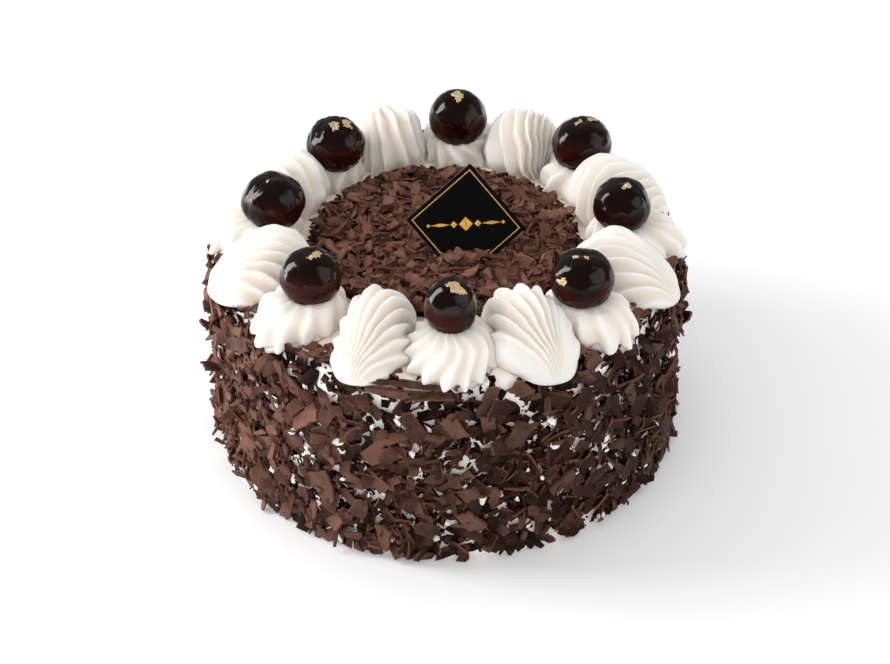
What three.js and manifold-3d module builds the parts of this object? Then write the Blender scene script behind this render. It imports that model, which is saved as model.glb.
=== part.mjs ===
// Black forest cake: a round cream-coated cake with chocolate shavings, a ring of piped cream
// (eight tall shells between eight low rosettes), a dark cherry on each rosette and a small card.
// Millimetres, +Z up. The origin is the centre of the flat base, and the front of the cake is -Y.
import * as THREE from "three";
import { mergeVertices } from "three/addons/utils/BufferGeometryUtils.js";
import Module from "manifold-3d";

const wasm = await Module();
wasm.setup();

// Driving dimensions
const CAKE_HEIGHT = 80; // top of the cream coat at the rim
const CORE_RADIUS = 88.5; // cake, coat and the bed of small shavings, without the large ones
const RIM_ROUND = 5; // rounding of the top edge
const BED = { radius: 48, rise: 2 }; // raised bed of shavings inside the ring of cream
const CLEARANCE = 0.3; // gap kept between pieces that touch
const PRESS = 0.45; // how much larger a piece's print in softer cream is than the piece
const DECK = CAKE_HEIGHT + CLEARANCE; // what the piped cream stands on

// A shell is a tall bulb with its full end towards the cake's centre and a tail at the rim.
const SHELL = {
  ring: 66, // radius of its tallest section
  inner: 16, // from there to its inner foot
  outer: 25.5, // from there to the tail
  halfWidth: 14.6,
  ridges: 7, // ridges over its back
  groove: 0.15, // groove depth as a share of the section
  shoulder: 0.74, // power of the section's sine and cosine: below 1 is squarer than an ellipse
};

// A rosette is a low dome with a ring of ridges, longer along the cake's radius than across.
const ROSETTE = {
  ring: 72.5,
  halfLength: 19.3,
  halfWidth: 15.4,
  height: 11.5,
  ridges: 12,
  groove: 0.14,
  turn: 14, // how far the ridges turn from the crown to the foot, degrees
};

// The ring of piping from the front on, counter-clockwise seen from above: each rosette, the
// cherry on it and the shell after it, whose tail swings to one side. Bearings are in degrees
// from +X, and ring is a cherry's distance from the cake's axis.
const PIPING = [
  {
    rosette: -88.4,
    cherry: { ring: 65.1, width: 18.8, height: 20.2 },
    shell: { bearing: -66.8, height: 20.5, tail: 0.5 },
  },
  {
    rosette: -44.7,
    cherry: { ring: 68.4, width: 22.3, height: 21.2 },
    shell: { bearing: -22.5, height: 22, tail: 1.5 },
  },
  {
    rosette: 0.9,
    cherry: { ring: 66.1, width: 20.8, height: 20.8 },
    shell: { bearing: 20.5, height: 23.5, tail: -1.5 },
  },
  {
    rosette: 40.6,
    cherry: { ring: 70.4, width: 22.6, height: 21.2 },
    shell: { bearing: 63, height: 24, tail: 2 },
  },
  {
    rosette: 85.6,
    cherry: { ring: 66.7, width: 22, height: 23 },
    shell: { bearing: 109.5, height: 24, tail: -2 },
  },
  {
    rosette: 133,
    cherry: { ring: 62.6, width: 22.4, height: 21.2 },
    shell: { bearing: 154, height: 23, tail: 1.5 },
  },
  {
    rosette: 176.5,
    cherry: { ring: 64.4, width: 23.2, height: 21 },
    shell: { bearing: 200, height: 20.5, tail: -1.5 },
  },
  {
    rosette: 224.6,
    cherry: { ring: 66.7, width: 21.2, height: 20.4 },
    shell: { bearing: 250, height: 20.5, tail: -2.8 },
  },
];
const CHERRY_CENTRE = 97.3; // height of the cherries' centres

// A square card stands on one corner in the shavings and leans back.
const CARD = {
  side: 31.8,
  thickness: 0.8,
  centre: new THREE.Vector3(7.7, -7, 94.2),
  lean: 32.8, // from upright, degrees
  yaw: 6.2,
  roll: -7.4,
};

const SHAVINGS = {
  side: 146,
  sideLow: 4, // lowest and highest centre of a shaving on the side
  sideHigh: 74,
  top: 58,
  topRadius: 49.2, // shavings on the top stay inside this radius
  seed: 20,
};
// The largest shaving stands on edge behind the card.
const TALL_SHAVING = {
  length: 16,
  width: 7,
  lean: 33, // its slope down towards +X, degrees
  centre: new THREE.Vector3(30, 35.5, 86.5),
};

const rad = THREE.MathUtils.degToRad;
const lerp = THREE.MathUtils.lerp;

// Seeded draws between 0 and 1, so that every build is the same.
function randomSource(seed) {
  let state = seed;
  return () => {
    state = (state + 0x6d2b79f5) | 0;
    let t = Math.imul(state ^ (state >>> 15), 1 | state);
    t = (t + Math.imul(t ^ (t >>> 7), 61 | t)) ^ t;
    return ((t ^ (t >>> 14)) >>> 0) / 4294967296;
  };
}

// A closed geometry as a solid that can be joined and cut.
function toSolid(geometry) {
  const bare = geometry.clone();
  bare.deleteAttribute("normal");
  bare.deleteAttribute("uv");
  const merged = mergeVertices(bare, 1e-4);
  const triVerts = [];
  for (let i = 0; i < merged.index.count; i += 3) {
    const [a, b, c] = merged.index.array.slice(i, i + 3);
    if (a !== b && b !== c && c !== a) triVerts.push(a, b, c);
  }
  return new wasm.Manifold(
    new wasm.Mesh({
      numProp: 3,
      vertProperties: new Float32Array(merged.attributes.position.array),
      triVerts: new Uint32Array(triVerts),
    }),
  );
}

function toGeometry(solid) {
  const mesh = solid.getMesh();
  const geometry = new THREE.BufferGeometry();
  geometry.setAttribute("position", new THREE.BufferAttribute(mesh.vertProperties, 3));
  geometry.setIndex(new THREE.BufferAttribute(mesh.triVerts, 1));
  const faceted = geometry.toNonIndexed();
  faceted.computeVertexNormals();
  return faceted;
}

// The largest closed body of a solid, so that no loose scrap is kept.
function largestBody(solid) {
  return solid.decompose().reduce((best, body) => (body.volume() > best.volume() ? body : best));
}

function geometryFrom(points, triangles) {
  const geometry = new THREE.BufferGeometry();
  const flat = points.flatMap((p) => [p.x, p.y, p.z]);
  geometry.setAttribute("position", new THREE.Float32BufferAttribute(flat, 3));
  geometry.setIndex(triangles);
  return geometry;
}

// A share of the section's radius at an angle: 1 on a ridge, and less in the groove beside it.
function ridgeShare(phase, groove) {
  return 1 - groove * Math.abs(Math.sin(phase * Math.PI));
}

// A power that keeps the sign.
function fold(value, power) {
  return Math.sign(value) * Math.abs(value) ** power;
}

// A point on a shell, in its own frame: x outwards, y across, z up from the deck.
// along runs from 0 at the inner foot through 0.5 at the tallest section to 1 at the tail.
// around runs from -1 to 1 over the shell's back.
function shellPoint(along, around, { height, tail }, grow) {
  const angle = around * (Math.PI / 2);
  const depth = SHELL.groove * Math.min(1, (1 - along) * 3);
  const share = ridgeShare((around * SHELL.ridges) / 2 + 0.5, depth);
  const across = (SHELL.halfWidth + grow) * share * fold(Math.sin(angle), SHELL.shoulder);
  const up = (height + grow) * share * fold(Math.cos(angle), SHELL.shoulder);
  if (along <= 0.5) {
    const tip = (along / 0.5) * (Math.PI / 2);
    const inward = (SHELL.inner + grow) * share * fold(Math.cos(angle), SHELL.shoulder);
    return new THREE.Vector3(-inward * Math.cos(tip), across, up * Math.sin(tip));
  }
  const reach = Math.sin(((along - 0.5) / 0.5) * (Math.PI / 2));
  const blunt = (1 + 0.12 * Math.sin(Math.PI * reach)) * Math.sqrt(Math.max(0, 1 - reach ** 2.8));
  const tapered = (1 - reach) ** 0.8;
  const narrowing = lerp(tapered, blunt, Math.abs(Math.sin(angle)) ** 2);
  const drop = (1 - reach) ** 0.8 * (1 + 0.7 * reach);
  return new THREE.Vector3(
    (SHELL.outer + grow) * reach,
    across * narrowing + tail * reach ** 2,
    up * drop,
  );
}

function shellSolid(shape, grow) {
  const stations = 12; // sections from the inner foot to the tail
  const columns = SHELL.ridges * 2; // a crest and a groove for each ridge
  const points = [];
  for (let s = 0; s <= stations; s++)
    for (let c = 0; c <= columns; c++)
      points.push(shellPoint(s / stations, (c / columns) * 2 - 1, shape, grow));
  const at = (s, c) => s * (columns + 1) + c;
  const triangles = [];
  for (let s = 0; s < stations; s++)
    for (let c = 0; c < columns; c++) {
      triangles.push(at(s, c), at(s + 1, c + 1), at(s, c + 1));
      triangles.push(at(s, c), at(s + 1, c), at(s + 1, c + 1));
    }
  // The flat foot is a fan from the middle of the tallest section.
  const foot = [];
  for (let c = 0; c <= columns; c++) foot.push(at(0, c));
  for (let s = stations / 2 + 1; s <= stations; s++) foot.push(at(s, columns));
  for (let s = stations - 1; s > stations / 2; s--) foot.push(at(s, 0));
  const middle = points.length;
  points.push(new THREE.Vector3());
  foot.forEach((corner, i) => triangles.push(middle, corner, foot[(i + 1) % foot.length]));
  return toSolid(geometryFrom(points, triangles));
}

// Height of a rosette's dome at a share of the way from its crown to its foot.
function rosetteProfile(share) {
  return ROSETTE.height * (1 - share ** 3.2) ** 0.62;
}

function rosetteSolid() {
  const rings = [0.5, 0.8, 0.95, 1];
  const columns = ROSETTE.ridges * 2;
  const points = [new THREE.Vector3(0, 0, ROSETTE.height)];
  for (const ring of rings)
    for (let c = 0; c < columns; c++) {
      const share = ridgeShare(c / 2, ROSETTE.groove * Math.min(1, ring * 1.4));
      const angle = (c / columns) * 2 * Math.PI + rad(ROSETTE.turn) * (ring - 1);
      points.push(
        new THREE.Vector3(
          ROSETTE.halfLength * ring * share * Math.cos(angle),
          ROSETTE.halfWidth * ring * share * Math.sin(angle),
          rosetteProfile(ring),
        ),
      );
    }
  const at = (ring, c) => 1 + ring * columns + (c % columns);
  const triangles = [];
  for (let c = 0; c < columns; c++) {
    triangles.push(0, at(0, c), at(0, c + 1));
    for (let r = 0; r < rings.length - 1; r++) {
      triangles.push(at(r, c), at(r + 1, c), at(r + 1, c + 1));
      triangles.push(at(r, c), at(r + 1, c + 1), at(r, c + 1));
    }
  }
  const middle = points.length;
  points.push(new THREE.Vector3());
  for (let c = 0; c < columns; c++)
    triangles.push(middle, at(rings.length - 1, c + 1), at(rings.length - 1, c));
  return toSolid(geometryFrom(points, triangles));
}

// A cherry: a round fruit with a shallow hollow where the stalk was.
function cherrySolid({ width, height }, grow) {
  const geometry = new THREE.SphereGeometry(1, 12, 8);
  geometry.rotateX(Math.PI / 2);
  const position = geometry.attributes.position;
  for (let i = 0; i < position.count; i++) {
    const z = position.getZ(i);
    const hollow = grow > 0 ? 0 : 0.6 * Math.max(0, z - 0.85);
    position.setXYZ(
      i,
      position.getX(i) * (width / 2 + grow),
      position.getY(i) * (width / 2 + grow),
      (z - hollow) * (height / 2 + grow),
    );
  }
  return toSolid(geometry);
}

// A solid turned to a bearing and moved out to a distance from the cake's axis.
function place(solid, bearing, ring, height) {
  return solid
    .rotate([0, 0, bearing])
    .translate([ring * Math.cos(rad(bearing)), ring * Math.sin(rad(bearing)), height]);
}

// The round core: flat base, rounded top edge, and a low bed of shavings in the middle.
function coreSolid() {
  const profile = [new THREE.Vector2(0, 0), new THREE.Vector2(CORE_RADIUS - 1, 0)];
  profile.push(new THREE.Vector2(CORE_RADIUS, 2));
  for (let step = 0; step <= 3; step++) {
    const turn = (step / 3) * (Math.PI / 2);
    profile.push(
      new THREE.Vector2(
        CORE_RADIUS - RIM_ROUND * (1 - Math.cos(turn)),
        CAKE_HEIGHT - RIM_ROUND * (1 - Math.sin(turn)),
      ),
    );
  }
  profile.push(new THREE.Vector2(BED.radius, CAKE_HEIGHT));
  profile.push(new THREE.Vector2(BED.radius - BED.rise, CAKE_HEIGHT + BED.rise));
  profile.push(new THREE.Vector2(0, CAKE_HEIGHT + BED.rise));
  const geometry = new THREE.LatheGeometry(profile, 60);
  geometry.rotateX(Math.PI / 2);
  return toSolid(geometry);
}

// One shaving: a thin tapered plate with uneven corners, bent along its length when it is long.
function shavingGeometry(random, length, width) {
  const thickness = lerp(1, 1.5, random());
  const bends = length > 9 ? 2 : 1;
  const geometry = new THREE.BoxGeometry(length, width, thickness, bends, 1, 1);
  const taper = lerp(0.25, 0.9, random());
  const skew = lerp(-0.35, 0.35, random());
  const curl = lerp(0.4, 1.8, random());
  const position = geometry.attributes.position;
  for (let i = 0; i < position.count; i++) {
    const x = position.getX(i) / (length / 2);
    const y = position.getY(i);
    position.setX(i, position.getX(i) + skew * y);
    position.setY(i, y * (x > 0 ? lerp(1, taper, x) : 1));
    position.setZ(i, position.getZ(i) - curl * x * x);
  }
  return geometry;
}

// Shavings on the side stand up from the coat with one end sunk in it.
function sideShavings(random) {
  const golden = Math.PI * (3 - Math.sqrt(5));
  const solids = [];
  for (let i = 0; i < SHAVINGS.side; i++) {
    const length = lerp(8, 14, random() ** 2);
    const width = lerp(3, 6.5, random());
    const geometry = shavingGeometry(random, length, width);
    geometry.rotateY(-rad(lerp(8, 42, random())));
    geometry.rotateZ(random() * 2 * Math.PI);
    geometry.rotateY(Math.PI / 2);
    const bearing = i * golden;
    const height = lerp(SHAVINGS.sideLow, SHAVINGS.sideHigh, (i + 0.5) / SHAVINGS.side);
    geometry.translate(CORE_RADIUS + lerp(0.4, 1.6, random()), 0, height);
    geometry.rotateZ(bearing);
    geometry.computeBoundingBox();
    const { min, max } = geometry.boundingBox;
    if (min.z > 0.3 && max.z < CAKE_HEIGHT - 0.5) solids.push(toSolid(geometry));
  }
  return solids;
}

// Distance from the cake's axis to a geometry's furthest point.
function reachOf(geometry) {
  const { position } = geometry.attributes;
  let reach = 0;
  for (let i = 0; i < position.count; i++)
    reach = Math.max(reach, Math.hypot(position.getX(i), position.getY(i)));
  return reach;
}

// Shavings on the top lie at low angles inside the ring of cream.
function topShavings(random) {
  const golden = Math.PI * (3 - Math.sqrt(5));
  const solids = [];
  for (let i = 0; i < SHAVINGS.top; i++) {
    const geometry = shavingGeometry(random, lerp(7, 12, random()), lerp(3.5, 6.5, random()));
    geometry.rotateY(-rad(lerp(8, 48, random())));
    geometry.rotateZ(random() * 2 * Math.PI);
    const radius = SHAVINGS.topRadius * Math.sqrt((i + 0.5) / SHAVINGS.top);
    const bearing = i * golden;
    geometry.translate(
      radius * Math.cos(bearing),
      radius * Math.sin(bearing),
      CAKE_HEIGHT + BED.rise + lerp(0.6, 1.4, random()),
    );
    if (reachOf(geometry) < SHAVINGS.topRadius) solids.push(toSolid(geometry));
  }
  return solids;
}

function tallShaving(random) {
  const { length, width, lean, centre } = TALL_SHAVING;
  const geometry = shavingGeometry(random, length, width);
  geometry.rotateX(Math.PI / 2);
  geometry.rotateY(rad(lean));
  geometry.translate(centre.x, centre.y, centre.z);
  return toSolid(geometry);
}

// Shavings on the side and the top, fused to the coat, with a slot for the card.
function bodySolid(cardSlot) {
  const random = randomSource(SHAVINGS.seed);
  const shavings = [...sideShavings(random), ...topShavings(random), tallShaving(random)];
  const joined = shavings.reduce((body, shaving) => body.add(shaving), coreSolid());
  return largestBody(joined.subtract(cardSlot));
}

const CREAM = new THREE.MeshStandardMaterial({ color: 0xf6f0e6, roughness: 0.55 });
const CHERRY_SKIN = new THREE.MeshStandardMaterial({ color: 0x1c0806, roughness: 0.12 });
const CHOCOLATE = new THREE.MeshStandardMaterial({ color: 0x46291f, roughness: 0.7 });
const BLACK_CARD = new THREE.MeshStandardMaterial({ color: 0x0c0c0d, roughness: 0.5 });

function namedMesh(name, geometry, material) {
  const mesh = new THREE.Mesh(geometry, material);
  mesh.name = name;
  return mesh;
}

// A group turned to a bearing, whose +X points out from the cake's axis.
function spoke(bearing) {
  const group = new THREE.Group();
  group.rotation.z = rad(bearing);
  return group;
}

// The card, and the slot it stands in, share their place.
function placeCard(object) {
  object.position.copy(CARD.centre);
  object.rotation.set(-rad(CARD.lean), rad(45 - CARD.roll), rad(CARD.yaw), "ZXY");
  object.updateMatrix();
  return object;
}

function cardGeometry(grow) {
  const side = CARD.side + grow * 2;
  return new THREE.BoxGeometry(side, CARD.thickness + grow * 2, side);
}

const cake = new THREE.Group();

const card = placeCard(namedMesh("card", cardGeometry(0), BLACK_CARD));
const cardSlot = toSolid(cardGeometry(CLEARANCE).applyMatrix4(card.matrix));
cake.add(namedMesh("cake_body", toGeometry(bodySolid(cardSlot)), CHOCOLATE), card);

PIPING.forEach((part, i) => {
  const next = PIPING[(i + 1) % PIPING.length];
  const last = PIPING.at(i - 1);

  // The shell, pressed by the cherries on both sides of it.
  const shellSpoke = spoke(part.shell.bearing);
  let shell = shellSolid(part.shell, 0).translate([SHELL.ring, 0, DECK]);
  for (const { rosette, cherry } of [part, next]) {
    const print = cherrySolid(cherry, PRESS);
    const turn = rosette - part.shell.bearing;
    shell = shell.subtract(place(print, turn, cherry.ring, CHERRY_CENTRE));
  }
  shellSpoke.add(namedMesh(`cream_shell_${i + 1}`, toGeometry(largestBody(shell)), CREAM));

  // The rosette, pressed by its own cherry and by the shells on both sides of it.
  const { cherry } = part;
  const rosetteSpoke = spoke(part.rosette);
  let rosette = rosetteSolid().translate([ROSETTE.ring, 0, DECK]);
  rosette = rosette.subtract(place(cherrySolid(cherry, PRESS), 0, cherry.ring, CHERRY_CENTRE));
  for (const { shell: neighbour } of [part, last]) {
    const print = shellSolid(neighbour, PRESS);
    const turn = neighbour.bearing - part.rosette;
    rosette = rosette.subtract(place(print, turn, SHELL.ring, DECK - PRESS));
  }
  rosetteSpoke.add(namedMesh(`cream_rosette_${i + 1}`, toGeometry(largestBody(rosette)), CREAM));

  const fruit = namedMesh(`cherry_${i + 1}`, toGeometry(cherrySolid(cherry, 0)), CHERRY_SKIN);
  fruit.position.set(cherry.ring, 0, CHERRY_CENTRE);
  rosetteSpoke.add(fruit);

  cake.add(shellSpoke, rosetteSpoke);
});

export default cake;
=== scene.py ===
from math import acos, atan2, copysign, cos, degrees, exp, hypot, pi, radians, sin, sqrt

import bmesh
import bpy
import numpy as np
from mathutils import Euler, Matrix, Vector, noise


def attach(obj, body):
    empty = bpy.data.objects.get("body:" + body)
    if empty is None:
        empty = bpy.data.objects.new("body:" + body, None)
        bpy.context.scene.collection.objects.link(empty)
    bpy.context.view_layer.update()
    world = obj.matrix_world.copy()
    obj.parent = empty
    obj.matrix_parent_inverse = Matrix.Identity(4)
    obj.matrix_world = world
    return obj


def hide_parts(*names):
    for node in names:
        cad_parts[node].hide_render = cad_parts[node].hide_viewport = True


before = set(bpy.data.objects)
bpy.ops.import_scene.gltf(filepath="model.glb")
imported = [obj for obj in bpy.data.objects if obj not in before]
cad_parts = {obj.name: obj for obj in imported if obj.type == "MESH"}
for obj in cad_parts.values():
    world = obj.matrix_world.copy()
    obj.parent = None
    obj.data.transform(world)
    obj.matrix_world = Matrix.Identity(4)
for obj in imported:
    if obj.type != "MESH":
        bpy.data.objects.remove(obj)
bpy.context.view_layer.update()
noise.seed_set(5)  # wander draws on this noise, and each run has to give the same shapes

# Black forest cake. Sizes are in millimetres until a piece is finished, and the front is -Y.
MM = 0.001
CAKE_HEIGHT = 80.0  # top of the cream coat at the rim
COAT_RADIUS = 86.6  # cream coat, which the shavings stick to
RIM_ROUND = 4.5
BED_RADIUS = 50.0  # bed of shavings inside the ring of piped cream
BED_TOP = 82.0
BED_REACH = 60.0  # what lies further out than this lies on the rim
RIM_TOP = CAKE_HEIGHT - 1.8  # what the height of the shavings on the rim is measured from
DECK = 80.2  # what the piped cream stands on
FLOOR_CLEARANCE = 0.15  # no shaving lies lower than this

# ---- Shader maths ----


def maths(operation, reflected=False):
    """An operator between two numbers, either of which may be a Value."""

    def apply(self, other):
        pair = [other, self] if reflected else [self, other]
        return self.recipe.node("Math", {"operation": operation}, pair)

    return apply


class Value:
    """A number socket. Arithmetic on it adds Math nodes to its material."""

    def __init__(self, recipe, socket):
        self.recipe = recipe
        self.socket = socket

    __add__ = __radd__ = maths("ADD")
    __mul__ = __rmul__ = maths("MULTIPLY")
    __sub__ = maths("SUBTRACT")
    __rsub__ = maths("SUBTRACT", reflected=True)
    __gt__ = maths("GREATER_THAN")

    def clamp(self):
        """Kept between 0 and 1."""
        settings = {"operation": "ADD", "use_clamp": True}
        return self.recipe.node("Math", settings, [self, 0.0])

    def ramp(self, low, high):
        """0 below low, 1 above high and smooth between them."""
        settings = {"interpolation_type": "SMOOTHSTEP"}
        return self.recipe.node("MapRange", settings, [self, low, high, 0.0, 1.0])


# A Mix node's sockets for colours, by number because their names repeat.
MIX_SHARE, MIX_FIRST, MIX_SECOND, MIX_RESULT = 0, 6, 7, 2


class Recipe:
    """A new material or world, and the few ways this script adds nodes to it."""

    def __init__(self, holder, place="Object"):
        holder.use_nodes = True
        self.holder, self.tree = holder, holder.node_tree
        self.place = self.node("TexCoord", {}, [], place)

    def node(self, kind, settings, inputs, output=0):
        """Adds a node. inputs is a list in socket order, or a dict by name or number."""
        made = self.tree.nodes.new("ShaderNode" + kind)
        for key, value in settings.items():
            setattr(made, key, value)
        pairs = inputs.items() if isinstance(inputs, dict) else enumerate(inputs)
        for key, value in pairs:
            self.feed(made.inputs[key], value)
        return Value(self, made.outputs[output])

    def feed(self, socket, value):
        """Links or sets a socket. A colour is given as red, green and blue."""
        if isinstance(value, Value):
            self.tree.links.new(value.socket, socket)
        elif socket.type == "RGBA":
            socket.default_value = (*value, 1.0)
        else:
            socket.default_value = value

    def noise(self, scale, detail=3.0, roughness=0.55, distortion=0.0):
        """Soft random clouds. A higher scale makes them smaller."""
        inputs = {"Vector": self.place, "Scale": scale, "Detail": detail}
        inputs |= {"Roughness": roughness, "Distortion": distortion}
        return self.node("TexNoise", {}, inputs)

    def pits(self, scale):
        """Pits close together: 0 in the middle of each, and more towards its edge."""
        return self.node("TexVoronoi", {}, {"Vector": self.place, "Scale": scale})

    def mark(self, name):
        """A number painted on the mesh."""
        return self.node("Attribute", {"attribute_name": name}, [], "Fac")

    def blend(self, share, first, second):
        """Colour between two colours."""
        inputs = {MIX_SHARE: share, MIX_FIRST: first, MIX_SECOND: second}
        return self.node("Mix", {"data_type": "RGBA"}, inputs, MIX_RESULT)

    def relief(self, height, distance, strength=1.0):
        """Surface normal from a height, with its depth in millimetres."""
        inputs = {"Height": height, "Distance": distance * MM, "Strength": strength}
        return self.node("Bump", {}, inputs)

    def toward(self, direction):
        """1 in a direction, 0 square to it and -1 the other way."""
        settings = {"operation": "DOT_PRODUCT"}
        inputs = [self.place, Vector(direction).normalized()]
        return self.node("VectorMath", settings, inputs, "Value")

    def surface(self, **sockets):
        """Feeds the material's surface, and gives back the material."""
        skin = self.tree.nodes["Principled BSDF"]
        for name, value in sockets.items():
            self.feed(skin.inputs[name.replace("_", " ")], value)
        return self.holder


def new_material(name):
    return Recipe(bpy.data.materials.new(name))


def cream_material(name, crest, hollow, grain, soak, glow):
    """Whipped cream: warm white, with tiny air bubbles, and painted shade that turns it darker and
    yellower in its hollows.

    soak is the share of the light that goes in and comes out again close by. glow is painted
    light: an emission of the cream's own colour that keeps it pale where it lies in shade.
    """
    recipe = new_material(name)
    # Painted shade: the hollow mark turns the cream towards its darker, yellower hollow colour.
    depth = recipe.mark("hollow")
    cloud = recipe.noise(90.0)
    hollow_shade_share = (depth * (0.65 + cloud * 0.7)).clamp()
    colour = recipe.blend(hollow_shade_share, crest, hollow)
    bubbles = recipe.pits(950.0).ramp(0.0, 0.28)
    speck = recipe.noise(420.0, 4.0)
    height = speck * 0.6 + bubbles * 0.4
    return recipe.surface(
        Base_Color=colour,
        Roughness=0.42 + cloud * 0.2,
        Normal=recipe.relief(height, grain, 0.6),
        IOR=1.36,
        Subsurface_Weight=soak,
        Subsurface_Radius=(1.0, 0.95, 0.88),
        Subsurface_Scale=0.004,
        Specular_IOR_Level=0.4,
        # Painted glow: the cream gives off a little light of its own colour.
        Emission_Color=colour,
        Emission_Strength=glow,
    )


def chocolate_material(name, dark, light, broken):
    """Shaved chocolate: dull faces that differ piece by piece, redder where they broke, with
    near-black painted shade where they lie low against the coat or the bed.
    """
    recipe = new_material(name)
    tone = recipe.mark("tone")
    edge = recipe.mark("edge")
    stand = recipe.mark("stand")
    grain = recipe.noise(1300.0, 4.0, 0.75)
    cloud = recipe.noise(220.0)
    share = (tone * 0.85 + (cloud - 0.5) * 0.7 + (grain - 0.5) * 0.65 - 0.08).clamp()
    face = recipe.blend(share, dark, light)
    torn = (tone > 0.72) * cloud.ramp(0.4, 0.55)
    crumbly = ((edge + torn * 0.7) * (0.45 + grain * 0.8)).clamp()
    colour = recipe.blend(crumbly, face, broken)
    dust = recipe.noise(1700.0).ramp(0.62, 0.76)
    colour = recipe.blend(dust * 0.35, colour, (0.24, 0.12, 0.08))
    # Painted shade: points that stand less than a few millimetres off the coat or the bed blend to
    # near black, as if in the shade of the shavings above them.
    clear_of_painted_shade = stand.ramp(0.6, 3.3)  # millimetres off the coat or the bed
    colour = recipe.blend(clear_of_painted_shade, (0.005, 0.0018, 0.0012), colour)
    scratch = recipe.pits(650.0).ramp(0.0, 0.5)
    height = grain * 0.6 + scratch * 0.25 + crumbly * cloud * 0.5
    return recipe.surface(
        Base_Color=colour,
        Roughness=(0.75 + grain * 0.2 + crumbly * 0.2 - clear_of_painted_shade * 0.36).clamp(),
        Normal=recipe.relief(height, 0.22, 0.8),
        Specular_IOR_Level=0.22,
        Specular_Tint=(1.0, 0.74, 0.62),
        IOR=1.46,
    )


def cherry_material():
    """Glazed black cherry: near black, turning dark red in cloudy patches towards its bottom."""
    recipe = new_material("glazed cherry")
    cloud = recipe.noise(70.0, 3.0, 0.5, 0.4)
    fine = recipe.noise(420.0, 4.0, 0.6)
    low_red = recipe.mark("low_red")
    red = (low_red * cloud.ramp(0.35, 0.62)).clamp()
    colour = recipe.blend(red, (0.006, 0.0014, 0.001), (0.042, 0.0052, 0.0026))
    smear = recipe.noise(150.0).ramp(0.45, 0.75)
    return recipe.surface(
        Base_Color=colour,
        Roughness=0.16 + smear * 0.2,
        Normal=recipe.relief(fine * 0.4 + cloud * 0.6, 0.3, 0.4),
        Specular_IOR_Level=0.06,
        Coat_Weight=(0.1 + recipe.mark("glaze") * 0.9).clamp(),
        Coat_Roughness=0.08,
        Coat_IOR=1.42,
    )


def gold_material(name, roughness, crumple, metal, deep, bright):
    """Gold whose colour follows its crumples as painted shade and highlight: deeper in the creases
    and paler on the raised parts. crumple is the creases' depth in millimetres.
    """
    recipe = new_material(name)
    creases = recipe.noise(900.0, 4.0, 0.6)
    # Painted shade and highlight: the colour follows the same relief as the bump.
    colour = recipe.blend(creases.ramp(0.3, 0.7), deep, bright)
    return recipe.surface(
        Base_Color=colour,
        Metallic=metal,
        Roughness=(roughness + creases * 0.15).clamp(),
        Normal=recipe.relief(creases, crumple),
    )


def card_material():
    """The card's black face, a little cloudy."""
    recipe = new_material("black card")
    fibre = recipe.noise(1800.0, 4.0, 0.7)
    cloud = recipe.noise(60.0, 2.0)
    colour = recipe.blend(cloud, (0.0018, 0.0016, 0.0018), (0.0035, 0.0032, 0.0034))
    return recipe.surface(
        Base_Color=colour,
        Specular_IOR_Level=0.1,
        Roughness=0.55 + fibre * 0.15,
        Normal=recipe.relief(fibre, 0.03, 0.4),
    )


def card_core_material():
    """The card's pale cut edge."""
    recipe = new_material("card core")
    fibre = recipe.noise(1200.0, 4.0, 0.7)
    colour = recipe.blend(fibre, (0.42, 0.42, 0.43), (0.62, 0.62, 0.62))
    return recipe.surface(Base_Color=colour, Roughness=0.85, Normal=recipe.relief(fibre, 0.05))


def floor_material():
    """A near white floor with a faint glow, so that it stays pale beside the cake's shadow."""
    recipe = new_material("pale floor")
    cloud = recipe.noise(6.0, 2.0)
    colour = recipe.blend(cloud, (0.86, 0.86, 0.86), (0.88, 0.88, 0.88))
    return recipe.surface(
        Base_Color=colour,
        Roughness=0.7,
        Specular_IOR_Level=0.2,
        Emission_Color=colour,
        Emission_Strength=0.1,
    )


# Each cream's second colour is the painted shade of its hollows.
PIPED_CREAM = cream_material(
    "piped cream", (0.85, 0.82, 0.785), (0.83, 0.757, 0.665), grain=0.1, soak=0.8, glow=0.0
)
# The coat cream is paler than the piped cream and glows a little: painted light that keeps it pale
# in the shade between the shavings.
COAT_CREAM = cream_material(
    "coat cream", (0.92, 0.87, 0.82), (0.87, 0.76, 0.61), grain=0.3, soak=0.1, glow=0.07
)
CHOCOLATE = chocolate_material(
    "shaved chocolate",
    dark=(0.022, 0.0066, 0.004),
    light=(0.235, 0.114, 0.08),
    broken=(0.15, 0.058, 0.037),
)
CHERRY_GLAZE = cherry_material()
GOLD_LEAF = gold_material("gold leaf", 0.3, 0.3, 0.6, (0.85, 0.5, 0.12), (1.0, 0.9, 0.7))
GOLD_FOIL = gold_material("gold foil", 0.4, 0.02, 0.3, (0.75, 0.38, 0.04), (1.0, 0.62, 0.1))
BLACK_CARD = card_material()
CARD_CORE = card_core_material()
PALE_FLOOR = floor_material()

# ---- Finished pieces ----


def add_object(data):
    """Puts a mesh, a light or a camera in the scene, under its own name."""
    made = bpy.data.objects.new(data.name, data)
    bpy.context.collection.objects.link(made)
    return made


def finish_piece(mesh, materials, stands_for=(), crease=None):
    """A finished piece of the cake: smooth faces, its materials, and its place in the part.

    stands_for lists the nodes it replaces. crease is the angle in degrees from which an edge
    stays sharp.
    """
    for material in materials:
        mesh.materials.append(material)
    mesh.shade_smooth()
    if crease is not None:
        mesh.set_sharp_from_angle(angle=radians(crease))
    piece = add_object(mesh)
    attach(piece, "root")
    if stands_for:
        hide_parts(*stands_for)


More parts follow.
